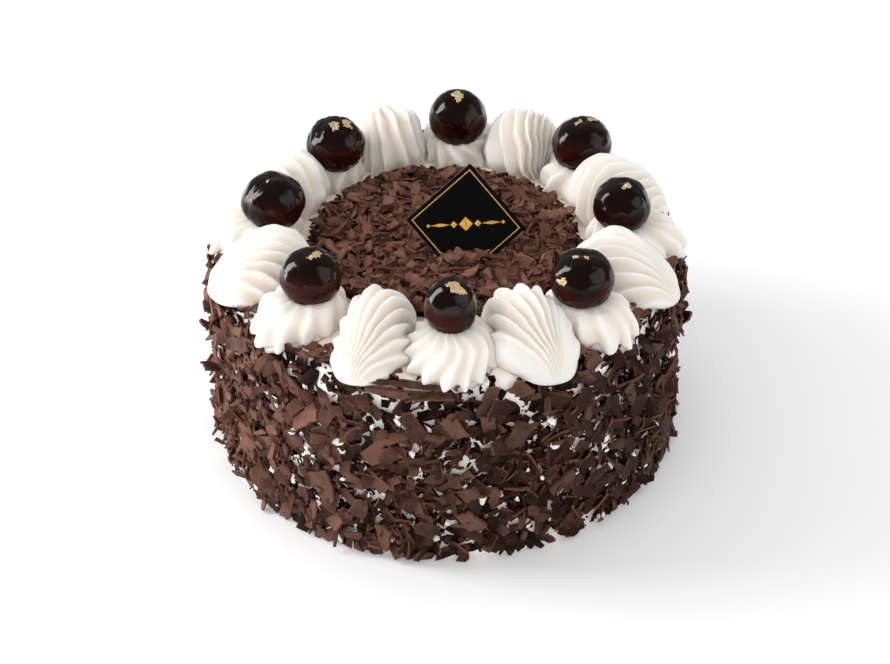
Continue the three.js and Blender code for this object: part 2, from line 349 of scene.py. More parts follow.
def mesh_from(bm, name, place=None):
    """Moves a bmesh in millimetres to its place, and turns it into a mesh in metres."""
    if place is not None:
        bmesh.ops.transform(bm, matrix=place, verts=bm.verts)
    bmesh.ops.recalc_face_normals(bm, faces=bm.faces)
    bmesh.ops.scale(bm, vec=(MM, MM, MM), verts=bm.verts)
    bm.verts.index_update()
    mesh = bpy.data.meshes.new(name)
    bm.to_mesh(mesh)
    bm.free()
    return mesh


def smooth_step(low, high, value):
    """0 at low, 1 at high and smooth between them, whichever of the two is greater."""
    share = min(1.0, max(0.0, (value - low) / (high - low)))
    return share * share * (3 - 2 * share)


def lerp(first, second, share):
    return first + (second - first) * share


def fold(value, power):
    """A power that keeps the sign."""
    return copysign(abs(value) ** power, value)


def wander(point, wavelength, amount, seed):
    """A smooth random shift of a point, in millimetres."""
    at = Vector(point) / wavelength + Vector((seed * 7.31, seed * 3.17, seed * 5.73))
    return noise.noise_vector(at) * amount


def rotation(axis, angle):
    """A turn about an axis, in degrees."""
    return Matrix.Rotation(radians(angle), 4, axis)


def out_from_axis(bearing, ring, height):
    """Turns a shape whose +X points outwards to a bearing, and moves it out to a radius."""
    return rotation("Z", bearing) @ Matrix.Translation((ring, 0, height))


# ---- Piped cream ----

SHELL_RING = 66.0  # radius of a shell's tallest section
SHELL_INNER = 15.5  # from there to its inner foot
SHELL_OUTER = 26.0  # from there to its tail
SHELL_FAN = SHELL_OUTER + 1.5  # from there to the point that its ridges fan out from
SHELL_HALF_WIDTH = 13.6
SHELL_SHOULDER = 0.76  # power of the section's sine and cosine: below 1 is squarer
SHELL_COLUMNS = 176
SHELL_ROWS = 104

ROSETTE_RING = 72.5
ROSETTE_HALF_LENGTH = 19.3
ROSETTE_HALF_WIDTH = 15.4  # of a usual one, to keep shavings clear of it
ROSETTE_HEIGHT = 10.8
ROSETTE_FULLEST = 1.6  # height of the fullest part of its side
ROSETTE_TUCK = 0.34  # share of its underside that curves in to the foot
ROSETTE_COLUMNS = 264
ROSETTE_ROWS = 80

CHERRY_CENTRE = 97.3
CHERRY_TURN = 1.9  # radians that each cherry is turned from the one before


def rows(names, *values):
    """A table as a list of dicts."""
    return [dict(zip(names.split(), row)) for row in values]


# The ring of piping, from the front on and counter-clockwise seen from above: the rosettes,
# the cherry on each and the shell after each. Bearings are in degrees from +X.

# A rosette's ridges bulge by sway halfway down and hook back at its foot, in degrees. wide is
# its half width, droop is how far it hangs over the cake's rim, and full is how squarely its
# top meets its side.
ROSETTES = rows(
    "bearing ridges sway hook wide droop full",
    (-88.4, 14, 12, 16, 17.2, 1.2, 4.8),
    (-44.7, 11, 4, -8, 15.0, 2.8, 6.0),
    (0.9, 11, -6, -10, 15.6, 2.8, 5.2),
    (40.6, 10, 8, 10, 15.6, 2.8, 5.2),
    (85.6, 12, -10, -18, 15.6, 2.8, 5.2),
    (133.0, 11, 8, 8, 15.6, 2.8, 5.2),
    (176.5, 11, -6, -6, 15.6, 2.8, 5.2),
    (224.2, 11, 2, 4, 14.6, 2.8, 8.0),
)

# ring is the radius that a cherry's middle lies at, and dents how deep its wrinkles are.
CHERRIES = rows(
    "ring width height dents",
    (65.1, 17.6, 21.8, 0.5),
    (68.4, 22.3, 21.2, 1.3),
    (66.1, 20.8, 20.8, 0.8),
    (70.4, 22.6, 21.2, 1.5),
    (66.7, 22.0, 23.0, 0.9),
    (62.6, 22.4, 21.2, 2.0),
    (64.4, 23.2, 21.0, 0.8),
    (66.7, 21.2, 20.4, 0.6),
)

# A shell's ridges fan out from its tail, which lies tail to one side, and drift sideways by curl
# at its inner foot. They are spacing degrees apart and moved by shift of that, lean moves the
# hollows between them, and they are deep between the two ends of ridged, counted in ridges from
# the middle. heel fills out one of its outer corners, droop is how far the tail hangs over the
# cake's rim, and breadth scales its width.
SHELLS = rows(
    "bearing height tail curl lean breadth spacing ridged shift heel droop",
    (-65.6, 20.5, 3.2, 1.5, -0.35, 0.97, 12.0, (-3.6, 1.6), 0.1, -0.6, 3.4),
    (-22.5, 22.0, 1.5, -6.0, -0.4, 1.0, 12.4, (-4.4, 4.0), 0.35, 0.0, 2.0),
    (20.5, 23.5, -1.5, -10.0, -0.4, 1.0, 13.0, (-4.4, 4.4), 0.0, 0.0, 2.0),
    (63.0, 24.0, 2.0, -12.0, -0.45, 1.0, 9.8, (-6.0, 5.6), 0.2, 0.3, 1.5),
    (109.5, 24.0, -2.0, -4.0, -0.3, 1.0, 10.4, (-5.6, 5.6), 0.45, -0.3, 1.5),
    (154.0, 23.0, 1.5, 7.0, 0.4, 1.0, 12.8, (-4.4, 4.4), 0.15, 0.0, 1.5),
    (200.0, 20.5, -1.5, 12.0, 0.4, 1.04, 11.8, (-6.0, 5.4), 0.3, 0.5, 1.5),
    (249.4, 20.5, -1.4, 9.0, 0.3, 0.88, 12.4, (-3.8, 5.2), 0.2, 0.9, 1.6),
)


def nozzle_ridge(phase, lean, rounding):
    """How far a point lies below its ridge's crest: 0 on the crest and 1 in the hollow.

    Crests are at whole phases. lean moves the hollow between them towards one of them.
    """
    across = phase % 1
    hollow = 0.5 + 0.5 * lean
    off = across / hollow if across < hollow else (1 - across) / (1 - hollow)
    off = (hypot(off, rounding) - rounding) / (hypot(1, rounding) - rounding)
    return 1 - (1 - off) ** 1.8


def plateau(value, low, high, fade):
    """1 between low and high, fading to 0 outside them."""
    return smooth_step(low - fade, low, value) * smooth_step(high + fade, high, value)


def shell_point(shell, along, around, share=1.0):
    """A point of a shell in its own frame. share shrinks its section.

    along runs from 0 at the inner foot through 0.5 at the tallest section to 1 at the tail, and
    around from -1 to 1 over the shell's back.
    """
    angle = around * pi / 2
    across = SHELL_HALF_WIDTH * shell["breadth"] * share * fold(sin(angle), SHELL_SHOULDER)
    arch = share * fold(cos(angle), SHELL_SHOULDER)
    if along <= 0.5:
        tip = along * pi
        tuck = 1 - 0.2 * (1 - smooth_step(0.0, 0.32, sin(tip) * arch))
        inward = SHELL_INNER * arch * cos(tip) * tuck
        return Vector((-inward, across, shell["height"] * arch * sin(tip)))
    reach = sin((along - 0.5) * pi)
    full = shell["heel"] if around * shell["heel"] > 0 else 0.0
    swell = 0.2 - 0.1 * shell["heel"] * copysign(1, -around)
    blunt = 1 + swell * sin(pi * reach**0.8)
    blunt *= sqrt(max(0.0, 1 - reach ** (3.2 + 4.0 * abs(full))))
    tapered = (1 - reach) ** 0.8
    narrowing = lerp(tapered, blunt, abs(sin(angle)) ** 2)
    drop = (1 - reach) ** 0.8 * (1 + 0.7 * reach)
    sideways = across * narrowing + shell["tail"] * reach**2
    droop = shell["droop"] * smooth_step(0.72, 1.0, reach)
    return Vector((SHELL_OUTER * reach, sideways, shell["height"] * arch * drop - droop))


def shell_ridge(shell, along, around):
    """How deep a point of a shell lies in a hollow, and how strong the ridges are there."""
    smooth = shell_point(shell, along, around)
    if along <= 0.5:
        arch = fold(cos(around * pi / 2), SHELL_SHOULDER)
        inward = SHELL_FAN + 27.0 * (1 - 2 * along) * arch
        below_crown = shell["height"] * (1 - arch)
    else:
        inward = SHELL_FAN - smooth.x
        below_crown = max(0.0, shell_point(shell, along, 0.0).z - smooth.z)
    flank = copysign(below_crown, around) * 0.8
    sideways = smooth.y - shell["tail"] * 0.8 + flank
    sideways -= shell["curl"] * max(0.0, inward - 12.0) ** 2 / 30.0**2
    fan = degrees(atan2(sideways, max(inward, 0.01)))
    phase = fan / shell["spacing"] + shell["shift"]
    wobble = noise.noise(Vector((along * 3.0, around * 1.5, shell["bearing"]))) * 0.22
    off = nozzle_ridge(phase + wobble, shell["lean"], 0.1)
    low, high = shell["ridged"]
    strength = smooth_step(0.0, 5.0, hypot(inward, sideways))
    strength *= lerp(0.12, 1.0, plateau(phase, low, high, 1.2) if inward < 24 else 1.0)
    return off, strength


def make_shell(index, shell):
    """A tall ridged shell of piped cream, its tail at the cake's rim."""
    bm = bmesh.new()
    bmesh.ops.create_grid(bm, x_segments=SHELL_ROWS, y_segments=SHELL_COLUMNS, size=1.0)
    hollow_shade_mark = bm.verts.layers.float.new("hollow")
    for vert in bm.verts:
        along = vert.co.x * 0.5 + 0.5
        around = vert.co.y
        off, strength = shell_ridge(shell, along, around)
        # The hollows between the ridges are marked for the cream's painted shade.
        vert[hollow_shade_mark] = off * strength
        depth = lerp(0.17, 0.22, smooth_step(0.62, 0.3, along))
        point = shell_point(shell, along, around, 1.02 - depth * off * strength)
        foot = 1 - smooth_step(0.0, 1.6, point.z)
        point.y *= 1 - 0.05 * foot
        lift = smooth_step(0.0, 4.0, point.z)
        point += wander(point, 12.0, 1.1, index + 0.3) * lift
        point += wander(point, 4.5, 0.35, index + 9.1) * lift
        vert.co = point
    bmesh.ops.remove_doubles(bm, verts=bm.verts, dist=0.004)
    rim = [edge for edge in bm.edges if edge.is_boundary]
    bmesh.ops.contextual_create(bm, geom=rim)
    place = out_from_axis(shell["bearing"], SHELL_RING, DECK)
    mesh = mesh_from(bm, f"cream_shell_{index}_piped", place)
    finish_piece(mesh, [PIPED_CREAM], [f"cream_shell_{index}"])


def rosette_point(rosette, pole, direction):
    """A point of a rosette for a direction from its middle, and how deep it lies in a hollow."""
    bearing = atan2(direction.y, direction.x)
    ring = min(1.0, hypot(direction.x, direction.y))
    if direction.z >= 0:
        crown = (1 - ring ** rosette["full"]) ** 0.52
        rise = ROSETTE_FULLEST + (ROSETTE_HEIGHT - ROSETTE_FULLEST) * crown
        spread = ring
        under = 0.0
    else:
        under = acos(ring) / (pi / 2)
        tuck = min(1.0, under / ROSETTE_TUCK)
        rise = ROSETTE_FULLEST * (1 - sin(tuck * pi / 2))
        spread = 1 - 0.1 * sin(tuck * pi / 2) ** 2 + 0.05 * smooth_step(0.6, 1.0, tuck)
        if under > ROSETTE_TUCK:
            spread *= (1 - under) / (1 - ROSETTE_TUCK)
        ring = 1.0
    turn = rosette["sway"] * sin(pi * ring**1.2) - rosette["hook"] * (ring**5 - 0.3)
    phase = (bearing - radians(turn)) * rosette["ridges"] / (2 * pi)
    phase += 0.5 * smooth_step(0.16, 0.3, under)
    wobble = noise.noise(Vector((direction.x, direction.y, rosette["bearing"])) * 1.6) * 0.25
    lean = copysign(0.3, rosette["sway"])
    off = nozzle_ridge(phase + wobble, lean, lerp(0.1, 0.4, ring**10))
    depth = lerp(0.03, 0.16, ring**1.4) * off * (1 - 0.5 * smooth_step(0.1, 0.3, under))
    radius = spread * (1.02 - depth)
    tip = (1 - off) ** 3 * ring**8 * (1 - smooth_step(0.1, 0.4, under))
    x = ROSETTE_HALF_LENGTH * radius * cos(bearing) + pole * (1 - ring)
    y = rosette["wide"] * radius * sin(bearing)
    droop = rosette["droop"] * smooth_step(0.45, 1.0, x / ROSETTE_HALF_LENGTH)
    z = rise * (1 - depth * 0.5 * (1 - ring * 0.5)) - droop - 0.5 * tip + 0.6 * off * ring**8
    return Vector((x, y, z)), off * min(1.0, 0.35 + ring)


def make_rosette(index, rosette, cherry):
    """A low ridged rosette. Its ridges start from under its cherry."""
    bm = bmesh.new()
    bmesh.ops.create_uvsphere(bm, u_segments=ROSETTE_COLUMNS, v_segments=ROSETTE_ROWS, radius=1.0)
    hollow_shade_mark = bm.verts.layers.float.new("hollow")
    pole = cherry["ring"] - ROSETTE_RING
    for vert in bm.verts:
        point, hollow = rosette_point(rosette, pole, vert.co)
        # The hollows between the ridges are marked for the cream's painted shade.
        vert[hollow_shade_mark] = hollow
        lift = smooth_step(-3.0, 1.0, point.z)
        point += wander(point, 10.0, 0.9, index + 20.4) * lift
        point += wander(point, 4.0, 0.3, index + 31.7) * lift
        vert.co = point
    place = out_from_axis(rosette["bearing"], ROSETTE_RING, DECK)
    mesh = mesh_from(bm, f"cream_rosette_{index}_piped", place)
    finish_piece(mesh, [PIPED_CREAM], [f"cream_rosette_{index}"])


# ---- Cherries and gold leaf ----


def cherry_radius(cherry, seed, direction):
    """A cherry's radius in a direction: round, with a stalk hollow, a seam and soft dents."""
    width = cherry["width"] / 2
    height = cherry["height"] / 2
    flat = hypot(direction.x, direction.y)
    radius = 1 / sqrt((flat / width) ** 2 + (direction.z / height) ** 2)
    stalk = exp(-((flat / 0.2) ** 2)) * (direction.z > 0)
    seam = exp(-((direction.y / 0.09) ** 2)) * smooth_step(-0.2, 0.6, direction.x)
    shift = Vector((seed * 3.3, seed * 1.7, seed * 2.9))
    big = noise.noise(direction * 1.7 + shift)
    wrinkle = abs(noise.noise(direction * 3.4 + shift * 2))
    low = smooth_step(0.1, -0.8, direction.z)
    dent = wrinkle * 0.8 * cherry["dents"] * (0.35 + low)
    return radius + 0.5 + big * 0.55 - stalk * 0.8 - seam * 0.25 - dent


def cherry_place(index):
    """Moves and turns a cherry from the middle of the frame to its rosette."""
    bearing, ring = ROSETTES[index - 1]["bearing"], CHERRIES[index - 1]["ring"]
    turn = Matrix.Rotation(index * CHERRY_TURN, 4, "Z")
    return out_from_axis(bearing, ring, CHERRY_CENTRE) @ turn


def make_cherry(index, cherry):
    """A cherry, with marks for how far it turns red towards its bottom and how thick its glaze
    lies.
    """
    bm = bmesh.new()
    bmesh.ops.create_uvsphere(bm, u_segments=96, v_segments=64, radius=1.0)
    low_red_mark = bm.verts.layers.float.new("low_red")
    glaze_mark = bm.verts.layers.float.new("glaze")
    for vert in bm.verts:
        direction = vert.co.normalized()
        vert[low_red_mark] = smooth_step(0.7, -0.1, direction.z)
        vert[glaze_mark] = smooth_step(0.05, 0.42, direction.z)
        vert.co = direction * cherry_radius(cherry, index, direction)
    mesh = mesh_from(bm, f"cherry_{index}_glazed", cherry_place(index))
    finish_piece(mesh, [CHERRY_GLAZE], [f"cherry_{index}"])


# Gold leaf: the cherry it lies on, the azimuth and elevation of its middle there in degrees,
# its length and width, and how it is turned.
GOLD_FLECKS = [
    (1, -60, 68, 6.0, 2.3, 35),
    (2, -132, 21, 3.4, 2.2, -50),
    (2, -140, 72, 2.0, 1.3, -30),
    (2, -67, 75, 2.0, 1.0, 10),
    (3, -77, 71, 3.6, 1.7, 110),
    (4, -139, 78, 4.6, 1.7, 15),
    (4, 10, 70, 4.6, 2.2, 20),
    (5, -93, 78, 6.0, 2.6, 5),
    (6, -91, 74, 6.2, 2.6, 15),
    (6, -20, 64, 4.6, 2.6, -40),
    (7, -115, 72, 1.6, 0.9, 30),
    (8, -51, 74, 5.4, 2.6, 100),
]
LEAF_THICKNESS = 0.06
LEAF_GAP = 0.28  # from a cherry to the leaf where it lies flattest


def make_gold_leaf():
    """Flecks of gold leaf, torn and crumpled, lying on the cherries."""
    bm = bmesh.new()
    for index, azimuth, elevation, length, width, turn in GOLD_FLECKS:
        cherry = CHERRIES[index - 1]
        fleck = bmesh.ops.create_grid(bm, x_segments=22, y_segments=11, size=0.5)["verts"]
        for vert in fleck:
            u, v = vert.co.x * 2, vert.co.y * 2
            ragged = noise.noise(Vector((u * 2.6, v * 1.6, index + length * 3)))
            waist = 1 + 0.5 * noise.noise(Vector((u * 1.4, index * 3.0, length)))
            vert.co.x *= length * (1 + ragged * 0.45 * u * u)
            vert.co.y *= width * waist * (1.1 - 0.35 * u * u) * (1 + ragged * 0.9 * abs(v))
        slope, side = radians(elevation), radians(azimuth)
        level = cos(slope)
        up = Vector((level * cos(side), level * sin(side), sin(slope)))
        facing = up.to_track_quat("Z", "X").to_matrix() @ rotation("Z", turn).to_3x3()
        middle = cherry_place(index).to_translation()
        to_cherry = cherry_place(index).to_3x3().transposed()
        for vert in fleck:
            crumple = noise.noise(Vector((vert.co.x, vert.co.y, index * 2.0)) * 1.6)
            spot = facing @ Vector((vert.co.x, vert.co.y, cherry["width"] / 2))
            direction = spot.normalized()
            radius = cherry_radius(cherry, index, to_cherry @ direction)
            vert.co = middle + direction * (radius + LEAF_GAP + abs(crumple) * 0.75)
        own = set(fleck)
        sheet = [face for face in bm.faces if face.verts[0] in own]
        for made in bmesh.ops.extrude_face_region(bm, geom=sheet)["geom"]:
            if isinstance(made, bmesh.types.BMVert):
                made.co += (made.co - middle).normalized() * LEAF_THICKNESS
    finish_piece(mesh_from(bm, "gold_leaf"), [GOLD_LEAF])


for number, (shell, rosette, cherry) in enumerate(zip(SHELLS, ROSETTES, CHERRIES), start=1):
    make_shell(number, shell)
    make_rosette(number, rosette, cherry)
    make_cherry(number, cherry)
make_gold_leaf()

# ---- Cream coat and the bed of shavings ----

RIM_STEPS = 8
BED_FOOT = CAKE_HEIGHT - 2
BED_CROWN = 4.2  # from its foot to its top
USUALLY_MISSING = 0.06  # share of the side's shavings, away from the bare patches

# Where the cream shows between the shavings: bearing, height, half width and half height of the
# patch, and the share of shavings missing there.
BARE_PATCHES = [
    (-97, 71, 9, 4, 0.8),
    (-77, 72, 7, 5, 0.65),
    (-69, 62, 5, 6, 0.5),
    (-80, 55, 4, 5, 0.5),
    (-50, 72, 7, 5, 0.6),
    (-46, 60, 4, 6, 0.4),
    (-118, 72, 5, 5, 0.35),
    (-128, 76, 4, 5, 0.35),
    (-104, 50, 2.5, 6, 0.45),
    (-96, 60, 2.5, 7, 0.5),
    (-75, 20, 6, 5, 0.25),
    (-60, 12, 8, 4, 0.3),
    (-28, 40, 8, 8, 0.25),
    (-140, 50, 6, 9, 0.2),
    (35, 66, 9, 6, 0.5),
    (70, 58, 7, 8, 0.4),
    (110, 70, 8, 5, 0.6),
    (150, 62, 9, 8, 0.4),
    (185, 70, 8, 6, 0.45),
    (166, 79, 18, 6, 1.0),
    (-100, 82, 5, 6, 1.0),
    (-76, 82, 6, 6, 1.0),
    (-68, 83, 5, 4, 1.0),
]


def side_coverage(bearing, height):
    """The share of shavings that stuck at a place on the side."""
    missing = USUALLY_MISSING
    for middle, level, wide, high, share in BARE_PATCHES:
        turn = (degrees(bearing) - middle + 180) % 360 - 180
        nearness = exp(-((turn / wide) ** 2) - ((height - level) / high) ** 2)
        missing = max(missing, share * nearness)
    return 1 - missing


def make_coat():
    """The cream coat: a round wall and a rounded rim, spread by hand and not quite even."""
    bm = bmesh.new()
    outline = [Vector((0, 0, 0)), Vector((COAT_RADIUS - 1, 0, 0)), Vector((COAT_RADIUS, 0, 1.5))]
    for step in range(RIM_STEPS + 1):
        turn = step / RIM_STEPS * pi / 2
        reach = COAT_RADIUS - RIM_ROUND * (1 - cos(turn))
        outline.append(Vector((reach, 0, CAKE_HEIGHT - RIM_ROUND * (1 - sin(turn)))))
    outline.append(Vector((0, 0, CAKE_HEIGHT)))
    verts = [bm.verts.new(point) for point in outline]
    edges = [bm.edges.new(pair) for pair in zip(verts, verts[1:])]
    wall, deck = edges[2], edges[-1]
    bmesh.ops.subdivide_edges(bm, edges=[wall], cuts=70)
    bmesh.ops.subdivide_edges(bm, edges=[deck], cuts=40)
    profile = bm.verts[:] + bm.edges[:]
    bmesh.ops.spin(bm, geom=profile, axis=(0, 0, 1), steps=260, angle=2 * pi, use_merge=True)
    bmesh.ops.remove_doubles(bm, verts=bm.verts, dist=0.01)
    hollow_shade_mark = bm.verts.layers.float.new("hollow")
    for vert in bm.verts:
        point = vert.co.copy()
        radius = hypot(point.x, point.y)
        lift = smooth_step(0.0, 4.0, point.z)
        outward = Vector((point.x, point.y, 0)) / max(radius, 1e-6)
        lump = noise.noise(point / 9.0) * 1.3 + noise.noise(point / 3.4) * 0.7
        side = smooth_step(COAT_RADIUS - 7, COAT_RADIUS - 2, radius)
        lump += 1.5 * (1 - side_coverage(atan2(point.y, point.x), point.z))
        # The deck between the piping gets the full painted hollow shade, and the side a little of
        # it where the coat dips in.
        vert[hollow_shade_mark] = lerp(1.0, 0.2 * smooth_step(0.6, -0.6, lump), side)
        vert.co = point + outward * lump * lift * side + Vector((0, 0, lump * 0.4 * (1 - side)))
        if point.z < 0.01:
            vert.co.z = 0.0
    finish_piece(mesh_from(bm, "cream_coat"), [COAT_CREAM], ["cake_body"])


def bed_rise(x, y):
    """How far the shavings are heaped up: along the back, and in front of the card."""
    back = smooth_step(30, 47, hypot(x, y)) * smooth_step(-10, 40, y) * 0.8
    heap = exp(-(((x - 6) / 14) ** 2) - ((y + 18.5) / 5) ** 2) * 3.0
    return back + heap + noise.noise(Vector((x / 14, y / 14, 5.0))) * 0.8


def make_bed():
    """Packed shavings under the loose ones on the top. They carry no stand mark, so the chocolate
    paints them all in the near-black painted shade of the gaps.
    """
    bm = bmesh.new()
    bmesh.ops.create_uvsphere(bm, u_segments=160, v_segments=120, radius=1.0)
    for vert in bm.verts:
        ring = hypot(vert.co.x, vert.co.y)
        z = BED_FOOT if vert.co.z < 0 else BED_FOOT + BED_CROWN * vert.co.z**0.35
        point = Vector((vert.co.x * BED_RADIUS, vert.co.y * BED_RADIUS, z))
        if vert.co.z > 0 and ring < 0.97:
            point.z += noise.noise(point / 2.6) * 1.1 + noise.noise(point / 1.1) * 0.5
            point.z += bed_rise(point.x, point.y)
        vert.co = point
    finish_piece(mesh_from(bm, "shavings_bed"), [CHOCOLATE])


make_coat()
make_bed()

# ---- Chocolate shavings ----


class Shaving:
    """One shape of shaving as arrays, ready to be repeated. It uses up its bmesh.

    edges is 1 on the faces where it broke and 0 on the others.
    """

    def __init__(self, bm):
        bmesh.ops.triangulate(bm, faces=bm.faces[:])
        bm.verts.index_update()
        edge_mark = bm.faces.layers.int["edge"]
        self.points = np.array([vert.co[:] for vert in bm.verts])
        self.corners = np.array([[v.index for v in face.verts] for face in bm.faces])
        self.edges = np.array([face[edge_mark] for face in bm.faces], dtype=float)
        bm.free()


def shaving(random, length, width, thickness, cells, ragged):
    """A strip shaved off a block: a thin leaning plate, snapped at its ends and curled.

    cells is the number of cells along and across it, and ragged how uneven its edges are.
    """
    bm = bmesh.new()
    bmesh.ops.create_grid(bm, x_segments=cells[0], y_segments=cells[1], size=0.5)
    shear = random.uniform(-0.35, 0.35)
    taper = random.uniform(-0.38, 0.38)
    for vert in bm.verts:
        vert.co.y *= 1 + taper * vert.co.x * 2
        vert.co.x += shear * vert.co.y * width / length
    bmesh.ops.scale(bm, vec=(length, width, 1), verts=bm.verts)
    for corner in random.permutation(4)[: random.integers(0, 4)]:
        side_x = 1 if corner in (0, 3) else -1
        side_y = 1 if corner < 2 else -1
        normal = Vector((side_x, side_y * random.uniform(0.3, 1.3), 0)).normalized()
        reach = length / 2 * abs(normal.x) + width / 2 * abs(normal.y)
        cut = normal * reach * random.uniform(0.66, 0.9)
        plate = bm.verts[:] + bm.edges[:] + bm.faces[:]
        bmesh.ops.bisect_plane(
            bm, geom=plate, dist=0.01, plane_co=cut, plane_no=normal, clear_outer=True
        )
    for vert in bm.verts:
        if vert.is_boundary:
            end = smooth_step(0.3, 0.5, abs(vert.co.x) / length)
            vert.co.x *= 1 - abs(random.normal(0, ragged)) * end * 2 / length
            vert.co.y *= 1 - abs(random.normal(0, ragged)) / width
    flat = bm.faces[:]
    bmesh.ops.recalc_face_normals(bm, faces=flat)
    bmesh.ops.solidify(bm, geom=flat, thickness=thickness)
    bm.normal_update()
    edge_mark = bm.faces.layers.int.new("edge")
    for face in bm.faces:
        face[edge_mark] = int(abs(face.normal.z) < 0.5)
    roll = random.uniform(0.0, 0.8) * random.choice([1, 1, -0.4])
    bow = random.uniform(0.0, 0.5) * random.choice([1, -1])
    wedge = random.uniform(-0.4, 0.4)
    twist = random.uniform(-0.3, 0.3)
    for vert in bm.verts:
        x, y, z = vert.co
        z *= 1 + wedge * y / width * 2
        z += twist * x * y / length
        y, z = bent(y, z, roll / width)
        x, z = bent(x, z, bow / length)
        vert.co = (x, y, z)
        vert.co += wander(vert.co, 4.0, 0.05 * width, length)
    return Shaving(bm)


def bent(across, up, curve):
    """Bends a strip round an arc of the given curvature."""
    if abs(curve) < 1e-4:
        return across, up
    radius = 1 / curve
    angle = across / radius
    return (radius - up) * sin(angle), radius - (radius - up) * cos(angle)


def crumb(random, size):
    """A small broken lump."""
    bm = bmesh.new()
    bmesh.ops.create_icosphere(bm, subdivisions=1, radius=size / 2)
    for vert in bm.verts:
        vert.co *= random.uniform(0.55, 1.2)
        vert.co.z *= 0.6
    edge_mark = bm.faces.layers.int.new("edge")
    for face in bm.faces:
        face[edge_mark] = int(random.random() < 0.4)
    return Shaving(bm)


def smear(random, length):
    """A dab of cream pressed out between the shavings."""
    bm = bmesh.new()
    bmesh.ops.create_icosphere(bm, subdivisions=2, radius=length / 2)
    shift = Vector(random.uniform(-9, 9, 3))
    for vert in bm.verts:
        vert.co *= 1 + 1.1 * noise.noise(vert.co / length * 3.4 + shift)
        vert.co.y *= 0.6
        vert.co.z *= 0.34
    bm.faces.layers.int.new("edge")
    return Shaving(bm)


def standing(points, middle):
    """How far a shaving's points stand off the coat or the bed, in millimetres."""
    ring = np.hypot(points[:, 0], points[:, 1])
    deck = np.where(ring < BED_REACH, BED_TOP + bed_rise(middle[0], middle[1]), RIM_TOP)
    return np.maximum(ring - COAT_RADIUS, points[:, 2] - deck)


def scatter(name, places, slot="chocolate", material=CHOCOLATE):
    """Joins shavings into one piece. places holds (shape, 3x3 turn and scale, point, tone).

    The mesh is marked with how far each point stands off, and each face's edge and tone.
    """
    points, corners, stands, edges, tones = [], [], [], [], []
    start = 0
    for shape, turn, point, tone in places:
        placed = shape.points @ turn.T + point
        low = placed[:, 2].min()
        if low < FLOOR_CLEARANCE:
            placed[:, 2] += FLOOR_CLEARANCE - low
        points.append(placed)
        stands.append(standing(placed, point))
        corners.append(shape.corners + start)
        edges.append(shape.edges)
        tones.append(np.full(len(shape.corners), tone))
        start += len(placed)
    points = np.concatenate(points)
    corners = np.concatenate(corners)
    mesh = bpy.data.meshes.new(name)
    mesh.vertices.add(len(points))
    mesh.vertices.foreach_set("co", (points * MM).ravel())
    mesh.loops.add(corners.size)
    mesh.loops.foreach_set("vertex_index", corners.ravel().astype(np.int32))
    mesh.polygons.add(len(corners))
    mesh.polygons.foreach_set("loop_start", np.arange(0, corners.size, 3, dtype=np.int32))
    mesh.update(calc_edges=True)
    marks = {"stand": ("POINT", stands), "edge": ("FACE", edges), "tone": ("FACE", tones)}
    for mark, (domain, numbers) in marks.items():
        made = mesh.attributes.new(mark, "FLOAT", domain)
        made.data.foreach_set("value", np.concatenate(numbers))
    finish_piece(mesh, [material], crease=32)


def turned(spin, lean, roll, facing):
    """Turn of a plate: spun in its own plane, leaned, and laid against a surface.

    facing is a 3x3 matrix whose columns are the surface's two directions and its outward normal.
    """
    own = Euler((lean * cos(roll), lean * sin(roll), 0)).to_matrix()
    return facing @ np.array(own @ Matrix.Rotation(spin, 3, "Z"))


def on_side(bearing, radius, height):
    """A point by the cake's side, and the directions there: round it, up it, and outwards."""
    sideways = np.array([-sin(bearing), cos(bearing), 0.0])
    upward = np.array([0.0, 0.0, 1.0])
    outward = np.array([cos(bearing), sin(bearing), 0.0])
    return outward * radius + upward * height, np.column_stack([sideways, upward, outward])


GOLDEN_TURN = pi * (3 - sqrt(5))  # spreads places evenly round the cake
PIPING_EDGE = 1.5  # how far shavings reach in under the edge of the piping
USUAL_SIZES = (0.8, 1.2)


def under_piping(bearing, radius):
    """Whether a shell or a rosette stands on this spot of the rim."""
    for piping, ring, long, wide in (
        (SHELLS, SHELL_RING, SHELL_OUTER, SHELL_HALF_WIDTH),
        (ROSETTES, ROSETTE_RING, ROSETTE_HALF_LENGTH, ROSETTE_HALF_WIDTH),
    ):
        for piped in piping:
            turn = bearing - radians(piped["bearing"])
            outward = (radius * cos(turn) - ring) / (long - PIPING_EDGE)
            sideways = radius * sin(turn) / (wide - PIPING_EDGE)
            if hypot(outward, sideways) < 1:
                return True
    return False


def painted_side_light(bearing):
    """Painted light that the side adds to a tone: lightest on the left, where the key light
    stands, and darkest at the front right.
    """
    most_lit = radians(160)
    return 0.58 * cos(bearing - most_lit) - 0.04


def draw_pose(random, lean, lift, sizes, reach):
    """A shaving's lean, spin, roll, size and rise off what it lies on.

    A shaving that leans more has to rise more, by up to reach.
    """
    tilt = abs(random.normal(0, lean))
    spin = random.uniform(0, 2 * pi)
    roll = random.uniform(0, 2 * pi)
    size = random.uniform(*sizes)
    rise = random.uniform(*lift) + sin(min(tilt, 1.3)) * reach * size
    return tilt, spin, roll, size, rise


